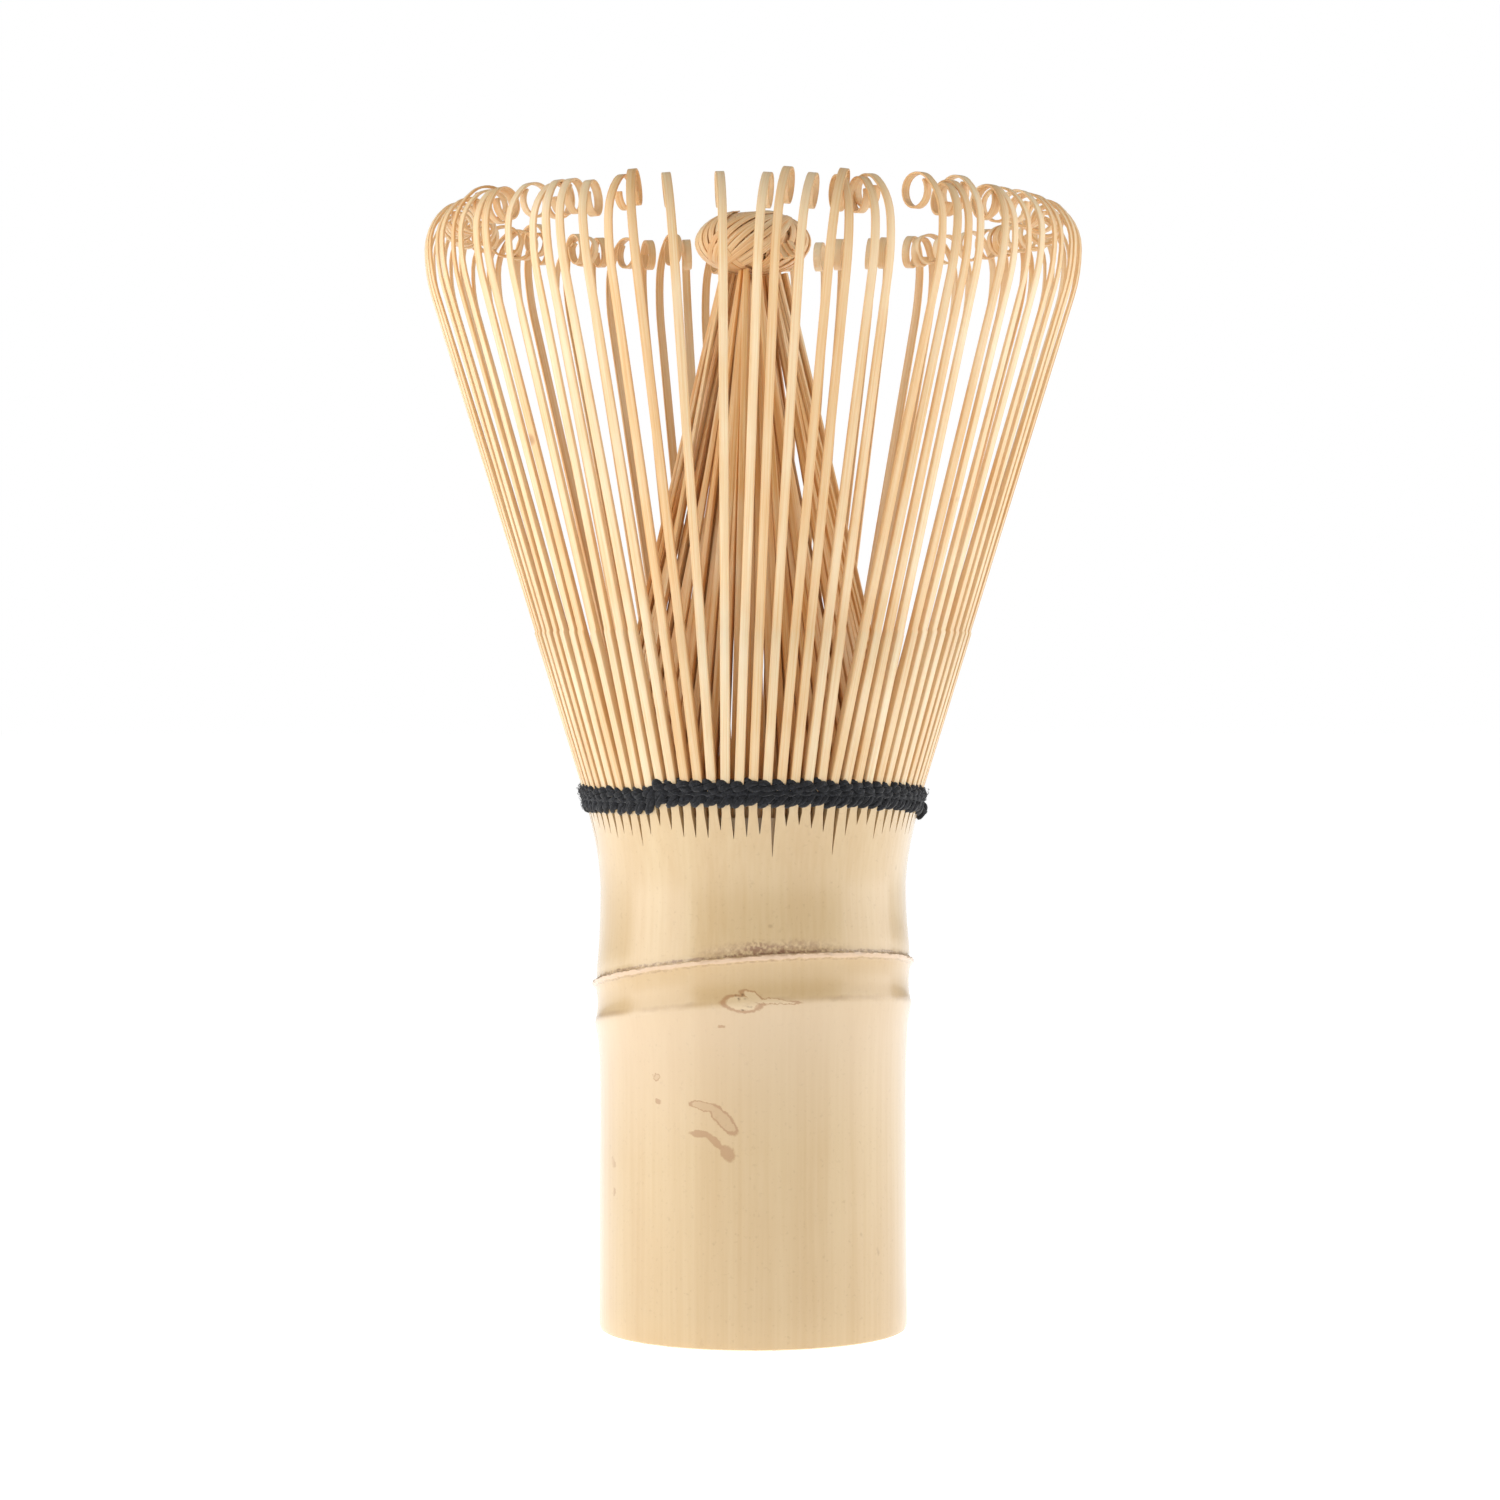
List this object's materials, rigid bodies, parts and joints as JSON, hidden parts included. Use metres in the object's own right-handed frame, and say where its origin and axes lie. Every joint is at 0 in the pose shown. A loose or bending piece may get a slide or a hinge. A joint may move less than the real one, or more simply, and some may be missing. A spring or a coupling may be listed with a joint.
{
  "type": "bamboo tea whisk",
  "caption": "Bamboo tea whisk with a hollow node handle, a ring of curled outer tines, an inner cone tied in a swirled knot, and a twined black thread.",
  "frame": {"origin": "centre of the handle's bottom face", "axes": "+Z along the whisk, from the handle to the tine tips; -Y is the front, where the bud scar of the node is"},
  "size_m": [0.0634, 0.0635, 0.1084],
  "materials": {
    "culm_bamboo": "satin natural bamboo skin",
    "outer_tine_bamboo": "split bamboo, satin skin below and shaved above",
    "inner_tine_bamboo": "split and shaved bamboo, matt",
    "black_cotton_thread": "twisted cotton, matt"
  },
  "bodies": {
    "handle": {"handle": "culm_bamboo", "node_septum": "culm_bamboo", "thread_lower_row": "black_cotton_thread", "thread_upper_row": "black_cotton_thread", "thread_end_knot": "black_cotton_thread"},
    "inner_tines": {"inner_tines_01": "inner_tine_bamboo", "inner_tines_02": "inner_tine_bamboo", "inner_tines_03": "inner_tine_bamboo", "inner_tines_04": "inner_tine_bamboo", "inner_tines_05": "inner_tine_bamboo", "inner_tines_06": "inner_tine_bamboo", "inner_tines_07": "inner_tine_bamboo", "inner_tines_08": "inner_tine_bamboo", "inner_knot": "inner_tine_bamboo"},
    "outer_tines_01": {"outer_tines_01": "outer_tine_bamboo"},
    "outer_tines_02": {"outer_tines_02": "outer_tine_bamboo"},
    "outer_tines_03": {"outer_tines_03": "outer_tine_bamboo"},
    "outer_tines_04": {"outer_tines_04": "outer_tine_bamboo"},
    "outer_tines_05": {"outer_tines_05": "outer_tine_bamboo"},
    "outer_tines_06": {"outer_tines_06": "outer_tine_bamboo"},
    "outer_tines_07": {"outer_tines_07": "outer_tine_bamboo"},
    "outer_tines_08": {"outer_tines_08": "outer_tine_bamboo"},
    "outer_tines_09": {"outer_tines_09": "outer_tine_bamboo"},
    "outer_tines_10": {"outer_tines_10": "outer_tine_bamboo"},
    "outer_tines_11": {"outer_tines_11": "outer_tine_bamboo"},
    "outer_tines_12": {"outer_tines_12": "outer_tine_bamboo"},
    "outer_tines_13": {"outer_tines_13": "outer_tine_bamboo"},
    "outer_tines_14": {"outer_tines_14": "outer_tine_bamboo"},
    "outer_tines_15": {"outer_tines_15": "outer_tine_bamboo"},
    "outer_tines_16": {"outer_tines_16": "outer_tine_bamboo"},
    "outer_tines_17": {"outer_tines_17": "outer_tine_bamboo"},
    "outer_tines_18": {"outer_tines_18": "outer_tine_bamboo"},
    "outer_tines_19": {"outer_tines_19": "outer_tine_bamboo"},
    "outer_tines_20": {"outer_tines_20": "outer_tine_bamboo"}
  },
  "joints": [
    {"name": "outer_tines_01_flex", "type": "hinge", "parent": "handle", "child": "outer_tines_01", "pos_m": [0.01559, 0.0044, 0.05305], "axis": [-0.2714, 0.9625, 0], "range_deg": [-4.5, 3], "stiffness_Nm_per_rad": 0.032},
    {"name": "outer_tines_02_flex", "type": "hinge", "parent": "handle", "child": "outer_tines_02", "pos_m": [0.01347, 0.009, 0.05305], "axis": [-0.5556, 0.8315, 0], "range_deg": [-4.5, 3], "stiffness_Nm_per_rad": 0.032},
    {"name": "outer_tines_03_flex", "type": "hinge", "parent": "handle", "child": "outer_tines_03", "pos_m": [0.01003, 0.01272, 0.05305], "axis": [-0.7853, 0.6191, 0], "range_deg": [-4.5, 3], "stiffness_Nm_per_rad": 0.032},
    {"name": "outer_tines_04_flex", "type": "hinge", "parent": "handle", "child": "outer_tines_04", "pos_m": [0.00561, 0.0152, 0.05305], "axis": [-0.9382, 0.3461, 0], "range_deg": [-4.5, 3], "stiffness_Nm_per_rad": 0.032},
    {"name": "outer_tines_05_flex", "type": "hinge", "parent": "handle", "child": "outer_tines_05", "pos_m": [0.00064, 0.01619, 0.05305], "axis": [-0.9992, 0.0393, 0], "range_deg": [-4.5, 3], "stiffness_Nm_per_rad": 0.032},
    {"name": "outer_tines_06_flex", "type": "hinge", "parent": "handle", "child": "outer_tines_06", "pos_m": [-0.0044, 0.01559, 0.05305], "axis": [-0.9625, -0.2714, 0], "range_deg": [-4.5, 3], "stiffness_Nm_per_rad": 0.032},
    {"name": "outer_tines_07_flex", "type": "hinge", "parent": "handle", "child": "outer_tines_07", "pos_m": [-0.009, 0.01347, 0.05305], "axis": [-0.8315, -0.5556, 0], "range_deg": [-4.5, 3], "stiffness_Nm_per_rad": 0.032},
    {"name": "outer_tines_08_flex", "type": "hinge", "parent": "handle", "child": "outer_tines_08", "pos_m": [-0.01272, 0.01003, 0.05305], "axis": [-0.6191, -0.7853, 0], "range_deg": [-4.5, 3], "stiffness_Nm_per_rad": 0.032},
    {"name": "outer_tines_09_flex", "type": "hinge", "parent": "handle", "child": "outer_tines_09", "pos_m": [-0.0152, 0.00561, 0.05305], "axis": [-0.3461, -0.9382, 0], "range_deg": [-4.5, 3], "stiffness_Nm_per_rad": 0.032},
    {"name": "outer_tines_10_flex", "type": "hinge", "parent": "handle", "child": "outer_tines_10", "pos_m": [-0.01619, 0.00064, 0.05305], "axis": [-0.0393, -0.9992, 0], "range_deg": [-4.5, 3], "stiffness_Nm_per_rad": 0.032},
    {"name": "outer_tines_11_flex", "type": "hinge", "parent": "handle", "child": "outer_tines_11", "pos_m": [-0.01559, -0.0044, 0.05305], "axis": [0.2714, -0.9625, 0], "range_deg": [-4.5, 3], "stiffness_Nm_per_rad": 0.032},
    {"name": "outer_tines_12_flex", "type": "hinge", "parent": "handle", "child": "outer_tines_12", "pos_m": [-0.01347, -0.009, 0.05305], "axis": [0.5556, -0.8315, 0], "range_deg": [-4.5, 3], "stiffness_Nm_per_rad": 0.032},
    {"name": "outer_tines_13_flex", "type": "hinge", "parent": "handle", "child": "outer_tines_13", "pos_m": [-0.01003, -0.01272, 0.05305], "axis": [0.7853, -0.6191, 0], "range_deg": [-4.5, 3], "stiffness_Nm_per_rad": 0.032},
    {"name": "outer_tines_14_flex", "type": "hinge", "parent": "handle", "child": "outer_tines_14", "pos_m": [-0.00561, -0.0152, 0.05305], "axis": [0.9382, -0.3461, 0], "range_deg": [-4.5, 3], "stiffness_Nm_per_rad": 0.032},
    {"name": "outer_tines_15_flex", "type": "hinge", "parent": "handle", "child": "outer_tines_15", "pos_m": [-0.00064, -0.01619, 0.05305], "axis": [0.9992, -0.0393, 0], "range_deg": [-4.5, 3], "stiffness_Nm_per_rad": 0.032},
    {"name": "outer_tines_16_flex", "type": "hinge", "parent": "handle", "child": "outer_tines_16", "pos_m": [0.0044, -0.01559, 0.05305], "axis": [0.9625, 0.2714, 0], "range_deg": [-4.5, 3], "stiffness_Nm_per_rad": 0.032},
    {"name": "outer_tines_17_flex", "type": "hinge", "parent": "handle", "child": "outer_tines_17", "pos_m": [0.009, -0.01347, 0.05305], "axis": [0.8315, 0.5556, 0], "range_deg": [-4.5, 3], "stiffness_Nm_per_rad": 0.032},
    {"name": "outer_tines_18_flex", "type": "hinge", "parent": "handle", "child": "outer_tines_18", "pos_m": [0.01272, -0.01003, 0.05305], "axis": [0.6191, 0.7853, 0], "range_deg": [-4.5, 3], "stiffness_Nm_per_rad": 0.032},
    {"name": "outer_tines_19_flex", "type": "hinge", "parent": "handle", "child": "outer_tines_19", "pos_m": [0.0152, -0.00561, 0.05305], "axis": [0.3461, 0.9382, 0], "range_deg": [-4.5, 3], "stiffness_Nm_per_rad": 0.032},
    {"name": "outer_tines_20_flex", "type": "hinge", "parent": "handle", "child": "outer_tines_20", "pos_m": [0.01619, -0.00064, 0.05305], "axis": [0.0393, 0.9992, 0], "range_deg": [-4.5, 3], "stiffness_Nm_per_rad": 0.032},
    {"name": "inner_tines_sway", "type": "hinge", "parent": "handle", "child": "inner_tines", "pos_m": [0, 0, 0.0519], "axis": [1, 0, 0], "range_deg": [-3, 3], "stiffness_Nm_per_rad": 1.6}
  ]
}
